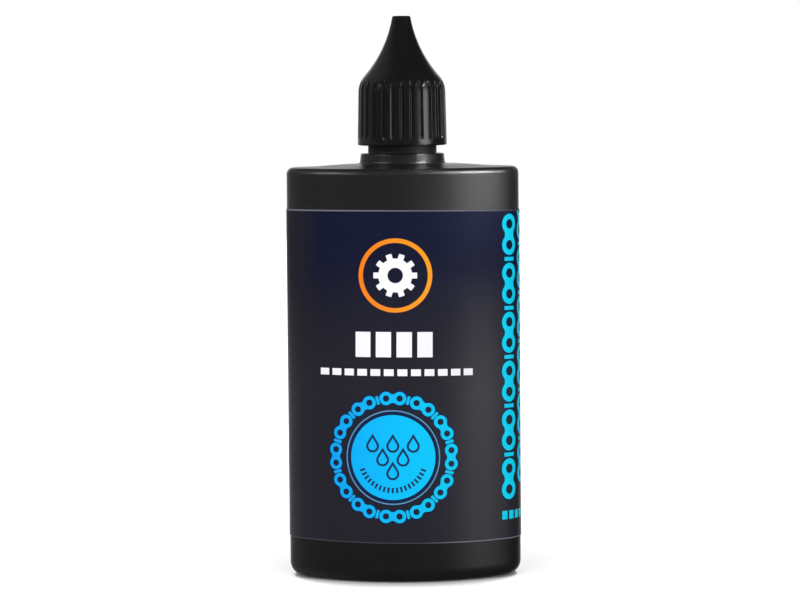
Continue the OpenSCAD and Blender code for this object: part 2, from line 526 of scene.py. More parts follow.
@dataclass(frozen=True)
class BlownPlastic(Plastic):
    """Blow-moulded plastic with a smoother shoulder and collar and the line between the mould's halves."""

    shoulder_z: float = 92.25
    collar_z: float = 92.95
    neck_z: float = 95.5
    shoulder_roughness: float = 0.31
    collar_roughness: float = 0.32
    neck_roughness: float = 0.58
    smooth_grain: float = 0.2
    line_half_width: float = 0.07
    line_height: float = 0.00004
    under_z: float = 1.5
    under_extra_width: float = 0.28
    under_extra_height: float = 2.5

    def gloss(self, graph: Graph, at: Socket) -> Socket:
        """Roughness over the surface.

        Args:
            graph: the material's tree.
            at: place on the piece, in metres.

        Returns:
            The body's roughness, then the smoother shoulder's and collar's, and the duller neck's.
        """
        height = graph.split(at)[2]
        levels = (self.roughness, self.shoulder_roughness, self.collar_roughness, self.neck_roughness)
        value = super().gloss(graph, at)
        for foot, below, above in zip((self.shoulder_z, self.collar_z, self.neck_z), levels, levels[1:]):
            value += (height > foot * MM) * (above - below)
        return value

    def relief(self, graph: Graph, at: Socket) -> Socket:
        """Height of the surface in metres.

        Args:
            graph: the material's tree.
            at: place on the piece, in metres.

        Returns:
            Grain, waves and the mould's line, which is broader under the base.
        """
        _, across, height = graph.split(at)
        under = (self.under_z * MM - height) > 0
        half_width = (under * self.under_extra_width + self.line_half_width) * MM
        line = (1 - abs(across) / half_width).clamp()
        smooth = (height > self.shoulder_z * MM) * (height < self.neck_z * MM)
        grain = super().relief(graph, at) * (1 - smooth * (1 - self.smooth_grain))
        return grain + line * (under * self.under_extra_height + 1) * self.line_height


@dataclass(frozen=True)
class Inks:
    """Colours of the print."""

    navy: Colour = srgb(15, 20, 46)
    azure: Colour = srgb(0, 162, 238)
    # the lighter inks towards the right of the ring and the badge are a painted highlight
    azure_highlight: Colour = srgb(0, 198, 240)
    cyan: Colour = srgb(0, 218, 252)
    disc: Colour = srgb(0, 166, 242)
    disc_highlight: Colour = srgb(0, 200, 246)
    line: Colour = srgb(90, 142, 178)
    mark: Colour = srgb(4, 46, 92)
    halo: Colour = srgb(0, 30, 72)
    orange: Colour = srgb(240, 122, 22)
    orange_highlight: Colour = srgb(245, 155, 30)
    white: Colour = srgb(240, 240, 242)
    faint: Colour = srgb(128, 132, 144)
    # the cut edge's line inside a painted highlight, and outside it
    highlit_edge: Colour = srgb(118, 120, 128)
    dim_edge: Colour = srgb(62, 64, 74)


INKS = Inks()


class Tint(Enum):
    """The inks in which blocks are printed."""

    WHITE = INKS.white
    CYAN = INKS.cyan
    FAINT = INKS.faint


@dataclass(frozen=True)
class Sheet:
    """The film while it is printed: its tree and the place on it, in millimetres round and up the bottle."""

    graph: Graph
    u: Socket
    z: Socket

    def place(self, centre: tuple[float, float]) -> tuple[Socket, Socket]:
        """The place as seen from a motif's centre."""
        return self.u - centre[0], self.z - centre[1]

    def halo(self, under: Socket, distance: Socket) -> Socket:
        """Darkens the ground to a deep blue close round a printed shape."""
        return self.graph.mix((1.2 - distance / 0.5).clamp(), under, INKS.halo)


@dataclass(frozen=True)
class LinkShape:
    """Sizes of one printed chain link and of the bar that divides it from the next."""

    plate_r: float
    hole_r: float
    half_spacing: float
    half_waist: float
    bar: tuple[float, float]
    bridge: float = 0.62

    def distance(self, along: Socket, across: Socket) -> Socket:
        """Distance to the figure-eight link with its two holes.

        Args:
            along: distance from the link's middle along the chain.
            across: distance from the link's middle across it.

        Returns:
            The distance, negative inside the print.
        """
        side = abs(along) - self.half_spacing
        from_hole = side.hypot(across)
        reach = self.half_spacing * self.bridge
        join = self.plate_r * math.sin(math.acos(min(1.0, (self.half_spacing - reach) / self.plate_r)))
        curve = (join - self.half_waist) / reach**2
        bridge = (abs(across) - (along * along * curve + self.half_waist)).larger(abs(along) - reach)
        return (from_hole - self.plate_r).smaller(bridge).larger(self.hole_r - from_hole)

    def bar_distance(self, along: Socket, across: Socket) -> Socket:
        """Distance to the dividing bar."""
        return (abs(along) - self.bar[0]).larger(abs(across) - self.bar[1])


@dataclass(frozen=True)
class ChainRing:
    """A ring of printed links round a pale line and a disc of drops."""

    centre: tuple[float, float] = (-2.5, 28.24)
    radius: float = 13.12
    count: int = 12
    link: LinkShape = LinkShape(1.48, 0.7, 1.51, 0.96, (0.31, 0.95))
    line_r: float = 10.4
    line_half: float = 0.14
    disc_r: float = 9.45
    drop_pitch: tuple[float, float] = (4.52, 3.06)
    drop_r: float = 1.2
    drop_low: float = -0.55
    drop_tip: float = 1.75
    stroke_half: float = 0.25
    dash_r: float = 7.35
    dash: tuple[float, float] = (0.24, 0.6)
    dash_step: float = 7.5
    dash_reach: float = 71.0

    def drop(self, x: Socket, y: Socket) -> Socket:
        """Distance to one drop: a disc with a straight-sided point above it.

        Args:
            x: distance to the right of the drop's middle.
            y: distance above it.

        Returns:
            The distance, negative inside the drop.
        """
        lean = math.asin(self.drop_r / (self.drop_tip - self.drop_low))
        side, up = abs(x), y - self.drop_low
        beyond = up * math.cos(lean) - side * math.sin(lean)
        straight = side * math.cos(lean) + up * math.sin(lean) - self.drop_r
        bowl = side.hypot(up) - self.drop_r
        above = beyond > 0
        return straight * above + bowl * (1 - above)

    def drops(self, x: Socket, y: Socket) -> Socket:
        """Six outlined drops in rows of three, two and one.

        Args:
            x: distance to the right of the ring's centre.
            y: distance above it.

        Returns:
            1 on a drop's outline, else 0.
        """
        wide, tall = self.drop_pitch
        upper = y > 0
        outer = self.drop(x.fold(wide), y - tall * (upper * 2 - 1))
        outer_room = abs(x) - (upper + 0.5) * wide
        inner = self.drop(x.fold(wide, wide / 2), y)
        outer = (abs(outer) - self.stroke_half).larger(outer_room)
        inner = (abs(inner) - self.stroke_half).larger(abs(x) - wide)
        return outer.smaller(inner).inside()

    def ink(self, sheet: Sheet, under: Socket) -> Socket:
        """Prints the chain, the line, the disc and what is on it.

        Args:
            sheet: the film's tree and places.
            under: colour under the print.

        Returns:
            The colour with the ring on it.
        """
        graph, (x, y) = sheet.graph, sheet.place(self.centre)
        radius, bearing = x.hypot(y), x.bearing(y)
        step = 2 * math.pi / self.count
        # the ring's inks lighten towards the right: a painted highlight
        right = (x / (2 * self.radius) + 0.5).clamp()
        link_way, bar_way = bearing.fold(step), bearing.fold(step, step / 2)
        links = self.link.distance(radius * link_way.sin(), radius * link_way.cos() - self.radius)
        bars = self.link.bar_distance(radius * bar_way.sin(), radius * bar_way.cos() - self.radius)
        chain = links.smaller(bars)
        colour = sheet.halo(under, chain.smaller(radius - self.line_r))
        colour = graph.mix(chain.inside(), colour, graph.mix(right, INKS.azure, INKS.azure_highlight))
        colour = graph.mix((abs(radius - self.line_r) - self.line_half).inside(), colour, INKS.line)
        disc = graph.mix(right, INKS.disc, INKS.disc_highlight)
        colour = graph.mix((radius - self.disc_r).inside(), colour, disc)
        turn = bearing + math.pi / 2
        way = turn.fold(math.radians(self.dash_step))
        dashes = abs(radius * way.sin()) - self.dash[0]
        dashes = dashes.larger(abs(radius * way.cos() - self.dash_r) - self.dash[1])
        dashes = dashes.larger(abs(turn) * self.dash_r - math.radians(self.dash_reach) * self.dash_r)
        return graph.mix(self.drops(x, y).larger(dashes.inside()), colour, INKS.mark)


@dataclass(frozen=True)
class ChainStrip:
    """An upright strip of printed links."""

    middle: float
    first: float = 22.53
    count: int = 6
    pitch: float = 10.99
    link: LinkShape = LinkShape(2.27, 1.08, 2.34, 1.42, (0.43, 1.55))

    def ink(self, sheet: Sheet, under: Socket) -> Socket:
        """Prints the links and the bars between them.

        Args:
            sheet: the film's tree and places.
            under: colour under the print.

        Returns:
            The colour with the strip on it.
        """
        across, z, length = sheet.u - self.middle, sheet.z, (self.count - 1) * self.pitch
        links = self.link.distance(z.fold(self.pitch, self.first), across)
        links = links.larger(abs(z - (self.first + length / 2)) - (length + self.pitch) / 2)
        bars = self.link.bar_distance(z.fold(self.pitch, self.first + self.pitch / 2), across)
        bars = bars.larger(abs(z - (self.first + length / 2)) - length / 2)
        chain = links.smaller(bars)
        return sheet.graph.mix(chain.inside(), sheet.halo(under, chain), INKS.cyan)


@dataclass(frozen=True)
class CogBadge:
    """A white cog inside an orange ring."""

    centre: tuple[float, float] = (-2.0, 68.6)
    ring_r: float = 7.7
    ring_half: float = 0.5
    cog_r: float = 4.3
    tooth: float = 0.55
    teeth: int = 10
    tooth_edge: float = 2.6
    tooth_share: float = 0.4
    hole_r: float = 1.7

    def ink(self, sheet: Sheet, under: Socket) -> Socket:
        """Prints the ring and the cog.

        Args:
            sheet: the film's tree and places.
            under: colour under the print.

        Returns:
            The colour with the badge on it.
        """
        graph, (x, y) = sheet.graph, sheet.place(self.centre)
        radius, bearing = x.hypot(y), x.bearing(y)
        # the orange ring lightens towards the right: a painted highlight
        right = (x / (2 * self.ring_r) + 0.5).clamp()
        colour = graph.mix((abs(radius - self.ring_r) - self.ring_half).inside(), under,
                           graph.mix(right, INKS.orange, INKS.orange_highlight))
        wave = ((bearing * self.teeth).cos() * self.tooth_edge + self.tooth_share).clamp() * 2 - 1
        cog = (radius - (wave * self.tooth + self.cog_r)).larger(self.hole_r - radius)
        return graph.mix(cog.inside(), colour, INKS.white)


@dataclass(frozen=True)
class Blocks:
    """A row of equal printed blocks."""

    centre: tuple[float, float]
    size: tuple[float, float]
    count: int
    pitch: float
    tint: Tint = Tint.WHITE
    rows: int = 1
    row_pitch: float = 3.0

    def ink(self, sheet: Sheet, under: Socket) -> Socket:
        """Prints the row, or rows.

        Args:
            sheet: the film's tree and places.
            under: colour under the print.

        Returns:
            The colour with the blocks on it.
        """
        x, y = sheet.place(self.centre)
        first_x, first_y = (self.count - 1) * self.pitch / 2, (self.rows - 1) * self.row_pitch / 2
        across = x if self.count == 1 else x.fold(self.pitch, first_x)
        up = y if self.rows == 1 else y.fold(self.row_pitch, first_y)
        block = (abs(across) - self.size[0] / 2).larger(abs(up) - self.size[1] / 2)
        block = block.larger(abs(x) - first_x - self.pitch / 2)
        if self.rows > 1:
            block = block.larger(abs(y) - first_y - self.row_pitch / 2)
        return sheet.graph.mix(block.inside(), under, self.tint.value)


Motif = ChainRing | ChainStrip | CogBadge | Blocks


@dataclass(frozen=True)
class PrintedFilm(Plastic):
    """The label's film: a charcoal ground, navy at the upper front, and the print on it."""

    low_z: float = 9.0
    high_z: float = 83.0
    margin: float = 0.28
    front_w: float = 56.0
    navy_u: tuple[float, float] = (-26.0, 44.0)
    navy_soft: float = 7.0
    navy_z: tuple[float, float] = (50.0, 76.0)
    highlight_u_range: tuple[float, float] = (4.0, 14.0)
    varnish_z: tuple[float, float] = (42.0, 70.0)
    layout: tuple[Motif, ...] = ()

    def colouring(self, graph: Graph, at: Socket) -> Socket:
        """Colour over the film, from its own coordinates: millimetres round the bottle and up it.

        Args:
            graph: the material's tree.
            at: place on the piece, in metres.

        Returns:
            The ground, the print and the pale cut edges, whose line carries a painted highlight.
        """
        place = graph.node("ShaderNodeAttribute", {"attribute_name": "print_mm"})[1]
        u, z, _ = graph.split(place)
        left, right = self.navy_u
        front = ((u - left) / self.navy_soft).clamp() * ((right - u) / self.navy_soft).clamp()
        low, high = self.navy_z
        fade = ((z - low) / (high - low) + (graph.noise(at, 60.0, 2.0) - 0.5) * 0.35).clamp() * front
        colour = graph.mix(fade, self.colour, INKS.navy)
        for motif in self.layout:
            colour = motif.ink(Sheet(graph, u, z), colour)
        middle = (self.low_z + self.high_z) / 2
        edge = abs(z - middle) - (self.high_z - middle - self.margin)
        top = z > middle
        # painted highlight on the pale cut edges: lighter towards the left on the top edge and towards the
        # right on the bottom edge
        left, right = self.highlight_u_range
        edge_highlight = top * (0.5 - u / self.front_w).clamp() + (1 - top) * ((u - left) / (right - left)).clamp()
        return graph.mix((-edge).inside(), colour, graph.mix(edge_highlight, INKS.dim_edge, INKS.highlit_edge))

    def varnish(self, graph: Graph, at: Socket, colour: Socket) -> Socket:
        """Weight of the varnish over the film.

        Args:
            graph: the material's tree.
            at: place on the piece, in metres.
            colour: the film's colour there.

        Returns:
            The weight, which falls off towards the top and over the bright inks.
        """
        low, high = self.varnish_z
        share = ((high * MM - graph.split(at)[2]) / ((high - low) * MM)).clamp()
        return share * (1 - graph.split(colour)[2])


class Finish(Enum):
    """The finishes of the bottle's pieces."""

    BOTTLE = BlownPlastic(
        "satin_black_blown", srgb(22, 22, 23), roughness=0.38,
        grain=2600.0, grain_depth=0.00003, wave_depth=0.00025,
    )
    CAP = Plastic("satin_black_moulded", srgb(17, 17, 18), roughness=0.23, grain=4200.0, grain_depth=0.000012)
    DROPPER = Plastic(
        "milky_soft_plastic", srgb(226, 224, 214), roughness=0.38,
        grain=2400.0, grain_depth=0.00001, speckle=0.03, subsurface=0.35,
    )
    LABEL = PrintedFilm(
        "printed_film", srgb(33, 31, 41), roughness=0.46,
        grain=5200.0, grain_depth=0.00001, wave_depth=0.00012, specular=0.08, coat_roughness=0.41,
        layout=(
            ChainRing(),
            ChainStrip(25.85),
            ChainStrip(31.4, first=25.8),
            CogBadge(),
            Blocks((-2.3, 53.3), (3.4, 5.6), 4, 4.6),
            Blocks((-1.9, 47.1), (2.2, 1.5), 12, 3.0),
            Blocks((27.6, 14.4), (1.5, 1.9), 4, 2.1, Tint.CYAN),
            Blocks((53.0, 46.0), (2.9, 0.7), 6, 3.7, Tint.FAINT, rows=12, row_pitch=2.6),
            Blocks((-53.0, 52.0), (3.6, 0.7), 5, 4.4, Tint.FAINT, rows=7, row_pitch=2.6),
        ),
    )


# pieces


@dataclass
class SubAssembly:
    """What each group of pieces shares: the body it rides on and the way a piece is put in place."""

    body: str = "bottle"

    def place(self, piece: bpy.types.Object, finish: Finish, slot: str, *nodes: str) -> bpy.types.Object:
        """Gives a piece its finish and body, and hides the CAD nodes that it stands for.

        Args:
            piece: the finished piece.
            finish: its finish.
            slot: not used.
            nodes: CAD nodes that it replaces.

        Returns:
            The piece.
        """
        piece.data.materials.clear()
        piece.data.materials.append(material_of(finish))
        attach(piece, self.body)
        if nodes:
            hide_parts(*nodes)
        LOG.info("%s: %d faces, rides on %s", piece.name, len(piece.data.polygons), self.body)
        return piece


def material_of(finish: Finish) -> bpy.types.Material:
    """The material of a finish, made once."""
    return bpy.data.materials.get(finish.value.name) or finish.value.material()


class Modelled:
    """A geometry node tree with named inputs, which turns a mesh into a finished one."""

    def __init__(self, name: str) -> None:
        """Starts an empty tree.

        Args:
            name: name of the tree.
        """
        self.tree = bpy.data.node_groups.new(name, "GeometryNodeTree")
        self.tree.interface.new_socket("Geometry", in_out="INPUT", socket_type="NodeSocketGeometry")
        self.tree.interface.new_socket("Geometry", in_out="OUTPUT", socket_type="NodeSocketGeometry")
        self.graph = Graph(self.tree)
        self.values: dict[str, Value] = {}

    def size(self, name: str, value: float, kind: str = "NodeSocketFloat") -> None:
        """Adds a named input with the value that the modifier gives it."""
        item = self.tree.interface.new_socket(name, in_out="INPUT", socket_type=kind)
        self.values[item.identifier] = value

    def inputs(self) -> list[Socket]:
        """The geometry and the named inputs, in order."""
        return self.graph.node("NodeGroupInput")[:-1]

    def finish(self, geometry: Socket, material: Socket) -> None:
        """Ends the tree in Realize Instances and Set Material.

        Args:
            geometry: what the tree has made.
            material: material that it gets.
        """
        real = self.graph.node("GeometryNodeRealizeInstances", {}, {"Geometry": geometry})[0]
        merged = self.graph.node("GeometryNodeMergeByDistance", {}, {"Geometry": real, "Distance": 1e-6})[0]
        ready = self.graph.node("GeometryNodeSetMaterial", {}, {"Geometry": merged, "Material": material})[0]
        self.graph.node("NodeGroupOutput", {}, {0: ready})

    def run(self, start: bpy.types.Object, name: str) -> bpy.types.Object:
        """Runs the tree on an object.

        Args:
            start: object whose mesh goes in; it is removed.
            name: name of the piece that comes out.

        Returns:
            The piece as a plain, smooth-shaded mesh.
        """
        modifier = start.modifiers.new(self.tree.name, "NODES")
        modifier.node_group = self.tree
        for identifier, value in self.values.items():
            modifier[identifier] = value
        graph = bpy.context.evaluated_depsgraph_get()
        mesh = bpy.data.meshes.new_from_object(start.evaluated_get(graph), depsgraph=graph)
        start.modifiers.remove(modifier)
        bpy.data.objects.remove(start)
        mesh.name = name
        mesh.shade_smooth()
        return linked(name, mesh)


@dataclass
class Thread:
    """A screw thread: a helix whose tooth fades away at both ends."""

    radius: float
    low_z: float
    depth: float
    pitch: float = 3.2
    turns: float = 1.5
    root_w: float = 1.5
    crest_w: float = 0.6
    edge_r: float = 0.14
    sink: float = 0.35
    fade_turns: float = 0.16
    end_scale: float = 0.12
    steps: int = 96

    def model(self, name: str, finish: Finish) -> bpy.types.Object:
        """Sweeps the tooth along the helix; a negative depth makes an inner thread.

        Args:
            name: name of the piece.
            finish: its finish.

        Returns:
            The thread as a closed piece.
        """
        made = Modelled(name)
        sizes = {
            "Radius": (self.radius - math.copysign(self.sink, self.depth)) * MM, "Low": self.low_z * MM,
            "Pitch": self.pitch * MM, "Turns": self.turns, "Fade": self.fade_turns,
            "Root Width": self.root_w * MM, "Crest Width": self.crest_w * MM,
            "Tooth": (abs(self.depth) + self.sink) * MM, "Edge": self.edge_r * MM,
        }
        for key, value in sizes.items():
            made.size(key, value)
        made.size("Steps", int(self.steps * self.turns) + 1, "NodeSocketInt")
        made.size("Material", material_of(finish), "NodeSocketMaterial")
        _, radius, low, pitch, turns, fade, root, crest, tooth, edge, steps, material = made.inputs()
        graph = made.graph
        line = graph.node("GeometryNodeCurvePrimitiveLine")[0]
        line = graph.node("GeometryNodeResampleCurve", {"mode": "COUNT"}, {"Curve": line, "Count": steps})[0]
        way = graph.node("GeometryNodeSplineParameter")[0]
        angle = way * turns * (2 * math.pi)
        across = {0: angle.cos() * radius, 1: angle.sin() * radius, 2: low + way * turns * pitch}
        point = graph.node("ShaderNodeCombineXYZ", {}, across)[0]
        helix = graph.node("GeometryNodeSetPosition", {}, {"Geometry": line, "Position": point})[0]
        helix = graph.node("GeometryNodeSetCurveNormal", {"mode": "Z_UP"}, {"Curve": helix})[0]
        faded = (way * turns / fade).smaller((1 - way) * turns / fade).smaller(1.0).larger(self.end_scale)
        shape = {"Bottom Width": root, "Top Width": crest, "Offset": 0.0, "Height": tooth}
        profile = graph.node("GeometryNodeCurvePrimitiveQuadrilateral", {"mode": "TRAPEZOID"}, shape)[0]
        corners = {"Curve": profile, "Count": 4, "Radius": edge}
        profile = graph.node("GeometryNodeFilletCurve", {"mode": "POLY"}, corners)[0]
        lift = graph.node("ShaderNodeCombineXYZ", {}, {0: 0.0, 1: tooth / 2, 2: 0.0})[0]
        profile = graph.node("GeometryNodeTransform", {}, {"Geometry": profile, "Translation": lift})[0]
        turn = (0, 0, math.radians(-90.0 if self.depth > 0 else 90.0))
        profile = graph.node("GeometryNodeTransform", {}, {"Geometry": profile, "Rotation": turn})[0]
        sweep = {"Curve": helix, "Profile Curve": profile, "Scale": faded, "Fill Caps": True}
        swept = graph.node("GeometryNodeCurveToMesh", {}, sweep)[0]
        made.finish(swept, material)
        piece = made.run(solid(name + "_start", np.zeros((1, 3)), []), name)
        outwards(piece)
        return piece


def outwards(piece: bpy.types.Object) -> None:
    """Turns a closed piece's faces outwards.

    Args:
        piece: the piece, whose mesh is changed.
    """
    work = bmesh.new()
    work.from_mesh(piece.data)
    bmesh.ops.recalc_face_normals(work, faces=work.faces)
    work.to_mesh(piece.data)
    work.free()


@dataclass
class Bottle(SubAssembly):
    """The blow-moulded bottle with its neck thread, and the label round it."""

    oval: Oval = field(default_factory=Oval)
    shoulder_z: float = 92.3
    shoulder_rise: float = 0.65
    shoulder_rim: float = 1.9
    shoulder_round: float = 1.5
    base_round: float = 3.2
    standing_ring: float = 6.2
    slope_w: float = 1.2
    slope_shift: float = 0.1
    level_w: float = 1.0
    push_up: float = 1.2
    wall: float = 1.0
    collar_r: float = 9.35
    collar_flare: float = 0.25
    collar_fillet: float = 0.7
    collar_h: float = 2.35
    neck_r: float = 7.7
    bore_r: float = 5.8
    neck_h: float = 13.3
    thread_depth: float = 1.15
    thread_start: float = 1.1
    label_z: float = 9.0
    label_h: float = 74.0
    label_skew: float = 0.009
    label_sag: float = 0.3
    label_lift: float = 0.15
    label_t: float = 0.12
    label_lip: float = 0.03
    label_columns: int = 361
    label_rows: int = 25
    glue_t: float = 0.03
    seam_gap: float = 1.2

    @property
    def neck_foot_z(self) -> float:
        """Height of the shoulder's middle."""
        return self.shoulder_z + self.shoulder_rise

    @property
    def rim_z(self) -> float:
        """Height of the neck's rim."""
        return self.neck_foot_z + self.collar_h + self.neck_h

    def outer_rings(self) -> list[np.ndarray]:
        """The outside below the shoulder.

        Returns:
            Rings from the raised middle of the base to the shoulder's level rim.
        """
        raised = self.standing_ring + self.slope_w
        outline = rounded([
            (raised + self.level_w, self.push_up, 0), (raised, self.push_up, 1.0),
            (self.standing_ring, 0, 1.0), (0, 0, self.base_round), (0, self.base_round + 3, 0),
        ], steps=10)
        outline += rounded([
            (0, self.shoulder_z - self.shoulder_round - 3, 0), (0, self.shoulder_z, self.shoulder_round),
            (self.shoulder_rim, self.shoulder_z, 0),
        ], steps=10)
        return [self.oval.ring(p.real, p.imag) for p in outline]

    def blend(self, inset: float, radius: float, low: float, high: float, steps: int) -> list[np.ndarray]:
        """Rings that go from the oval to a circle in one soft rise.

        Args:
            inset: how far the oval is pulled in.
            radius: radius of the circle.
            low: height of the oval.
            high: height of the circle.
            steps: number of rings.

        Returns:
            The rings after the oval's own, the last of them the circle.
        """
        start, end = self.oval.ring(inset, low), circle(radius, high, self.oval.bearings())
        ways = [i / steps for i in range(1, steps + 1)]
        rise = [w * w * (3 - 2 * w) for w in ways]
        rings = [(1 - w) * start + w * end for w in ways]
        for ring, share in zip(rings, rise):
            ring[:, 2] = low + (high - low) * share
        return rings

    def model_body(self) -> bpy.types.Object:
        """Makes the base, walls, shoulder, neck, bore and inside.

        Returns:
            The bottle as one closed skin.
        """
        foot_r, bearings = self.collar_r + self.collar_flare, self.oval.bearings()
        foot_z, foot_out = self.neck_foot_z, foot_r + 2 * self.collar_fillet
        slope = self.standing_ring + self.slope_shift
        outer = self.outer_rings()
        centre = [outer[0] * (s, s, 1) for s in (0.25, 0.5, 0.75)]
        neck = rounded([
            (foot_out, foot_z, 0), (foot_r, foot_z, self.collar_fillet),
            (self.collar_r, foot_z + self.collar_h, 0.22), (self.neck_r, foot_z + self.collar_h, 0.3),
            (self.neck_r, self.rim_z, 0.25), (self.bore_r, self.rim_z, 0.3), (self.bore_r, foot_z, 1.0),
            (self.bore_r + 2.4, foot_z - self.wall, 0),
        ])
        inner = rounded([
            (self.shoulder_rim + 1, self.shoulder_z - self.wall, 0),
            (self.wall, self.shoulder_z - self.wall, 0.8),
            (self.wall, self.wall, self.base_round - self.wall), (slope, self.wall, 0.8),
            (slope + self.slope_w, self.push_up + self.wall, 0.8),
            (self.standing_ring + self.slope_w + self.level_w, self.push_up + self.wall, 0),
        ], steps=4)
        inside = [self.oval.ring(p.real, p.imag) for p in inner]
        under = self.blend(inner[0].real, neck[-1].real, inner[0].imag, neck[-1].imag, 5)[::-1]
        rings = (
            [np.array([[0, 0, self.push_up]])] + centre + outer
            + self.blend(self.shoulder_rim, foot_out, self.shoulder_z, foot_z, 10)
            + [circle(p.real, p.imag, bearings) for p in neck[1:-1]] + under + inside
            + [inside[-1] * (s, s, 1) for s in (0.66, 0.33)] + [np.array([[0, 0, self.push_up + self.wall]])]
        )
        return skin("bottle_body", rings)

    def model_thread(self) -> bpy.types.Object:
        """Makes the neck's right-hand thread.

        Returns:
            The thread, whose upper end lies under the rim.
        """
        thread = Thread(self.neck_r, self.rim_z - self.thread_start, self.thread_depth)
        thread.low_z -= thread.root_w / 2 + thread.pitch * thread.turns
        return thread.model("neck_thread", Finish.BOTTLE)

    def model_label(self) -> bpy.types.Object:
        """Makes the film round the body, open at the back.

        Returns:
            A thin closed sheet with its print coordinates.
        """
        half = self.oval.half_length - self.seam_gap / 2
        ways = np.linspace(-half, half, self.label_columns)
        middle_rows = np.linspace(0.5, self.label_h - 0.5, self.label_rows)
        heights = self.label_z + np.array([0, 0.04, *middle_rows, self.label_h - 0.04, self.label_h])
        out, inn = self.glue_t + self.label_t, self.glue_t
        lips = [out - self.label_lip] + [out] * (len(heights) - 2) + [out - self.label_lip]
        columns = []
        for way in ways:
            near_seam = min(1.0, (half - abs(way)) / 0.05)
            top = [self.oval.walk(way, lip - self.label_lip * (1 - near_seam)) for lip in lips]
            back = self.oval.walk(way, inn)
            drop = self.label_skew * back.real
            stretch = self.label_lift - self.label_sag * (2 * back.real / self.oval.width) ** 2
            levels = [z - drop + stretch * (z - self.label_z) / self.label_h for z in heights]
            columns.append([(p.real, p.imag, z) for p, z in zip(top, levels)]
                           + [(back.real, back.imag, z) for z in levels[::-1]])
        rows, count = len(columns[0]), len(columns)
        faces = []
        for first in range(0, rows * (count - 1), rows):
            for j in range(rows):
                k = (j + 1) % rows
                faces.append((first + j, first + rows + j, first + rows + k, first + k))
        for first, turn in ((0, 1), (rows * (count - 1), -1)):
            for j in range(rows // 2 - 1):
                face = (first + j, first + j + 1, first + rows - 2 - j, first + rows - 1 - j)
                faces.append(face[::turn])
        points = np.array(columns).reshape(-1, 3)
        piece = solid("label_film", points, faces)
        place = piece.data.attributes.new("print_mm", "FLOAT_VECTOR", "POINT")
        sheet = np.tile(np.concatenate((heights, heights[::-1])), count)
        lean = self.label_skew * (sheet - self.label_z - self.label_h / 2)
        print_at = np.column_stack((np.repeat(ways, rows) - lean, sheet, np.zeros(len(points))))
        place.data.foreach_set("vector", print_at.astype(np.float32).ravel())
        return piece

    def build(self) -> None:
        """Makes and places the pieces."""
        self.place(self.model_body(), Finish.BOTTLE, "bottle_plastic", "bottle")
        self.place(self.model_thread(), Finish.BOTTLE, "bottle_plastic")
        self.place(self.model_label(), Finish.LABEL, "label_film", "label")


@dataclass
class Dropper(SubAssembly):
    """The soft insert that is pressed into the neck."""

    rim_z: float = 108.6
    plug_r: float = 5.7
    plug_bore_r: float = 4.7
    plug_len: float = 7.0
    bead_r: float = 5.86
    bead_h: float = 0.8
    flange_r: float = 7.2
    flange_t: float = 0.9
    nozzle_base_r: float = 5.2
    nozzle_wall: float = 1.2
    nozzle_h: float = 11.8
    tip_r: float = 1.6
    orifice_r: float = 0.6
    orifice_len: float = 1.8

    def build(self) -> None:
        """Makes and places the insert."""
        low, flange_z = self.rim_z - self.plug_len, self.rim_z + self.flange_t
        tip_z = flange_z + self.nozzle_h
        beads = []
        for part in (1, 2):
            z = low + self.plug_len * part / 3
            beads += [(self.plug_r, z - self.bead_h / 2, 0.05), (self.bead_r, z - 0.12, 0.1),
                      (self.bead_r, z + 0.12, 0.1), (self.plug_r, z + self.bead_h / 2, 0.05)]
        outline = rounded([
            (self.plug_bore_r, low, 0.3), (self.plug_r, low, 0.4), *beads, (self.plug_r, self.rim_z, 0.15),
            (self.flange_r, self.rim_z, 0.12), (self.flange_r, flange_z, 0.28),
            (self.nozzle_base_r, flange_z, 0.5), (self.tip_r, tip_z, 0.4), (self.orifice_r, tip_z, 0.18),
            (self.orifice_r, tip_z - self.orifice_len, 0.3),
            (self.nozzle_base_r - self.nozzle_wall, flange_z, 1.0), (self.plug_bore_r, self.rim_z, 1.0),
        ], closed=True)
        dropper = turned("dropper", outline, closed=True)
        self.place(dropper, Finish.DROPPER, "dropper_plastic", "dropper_insert")


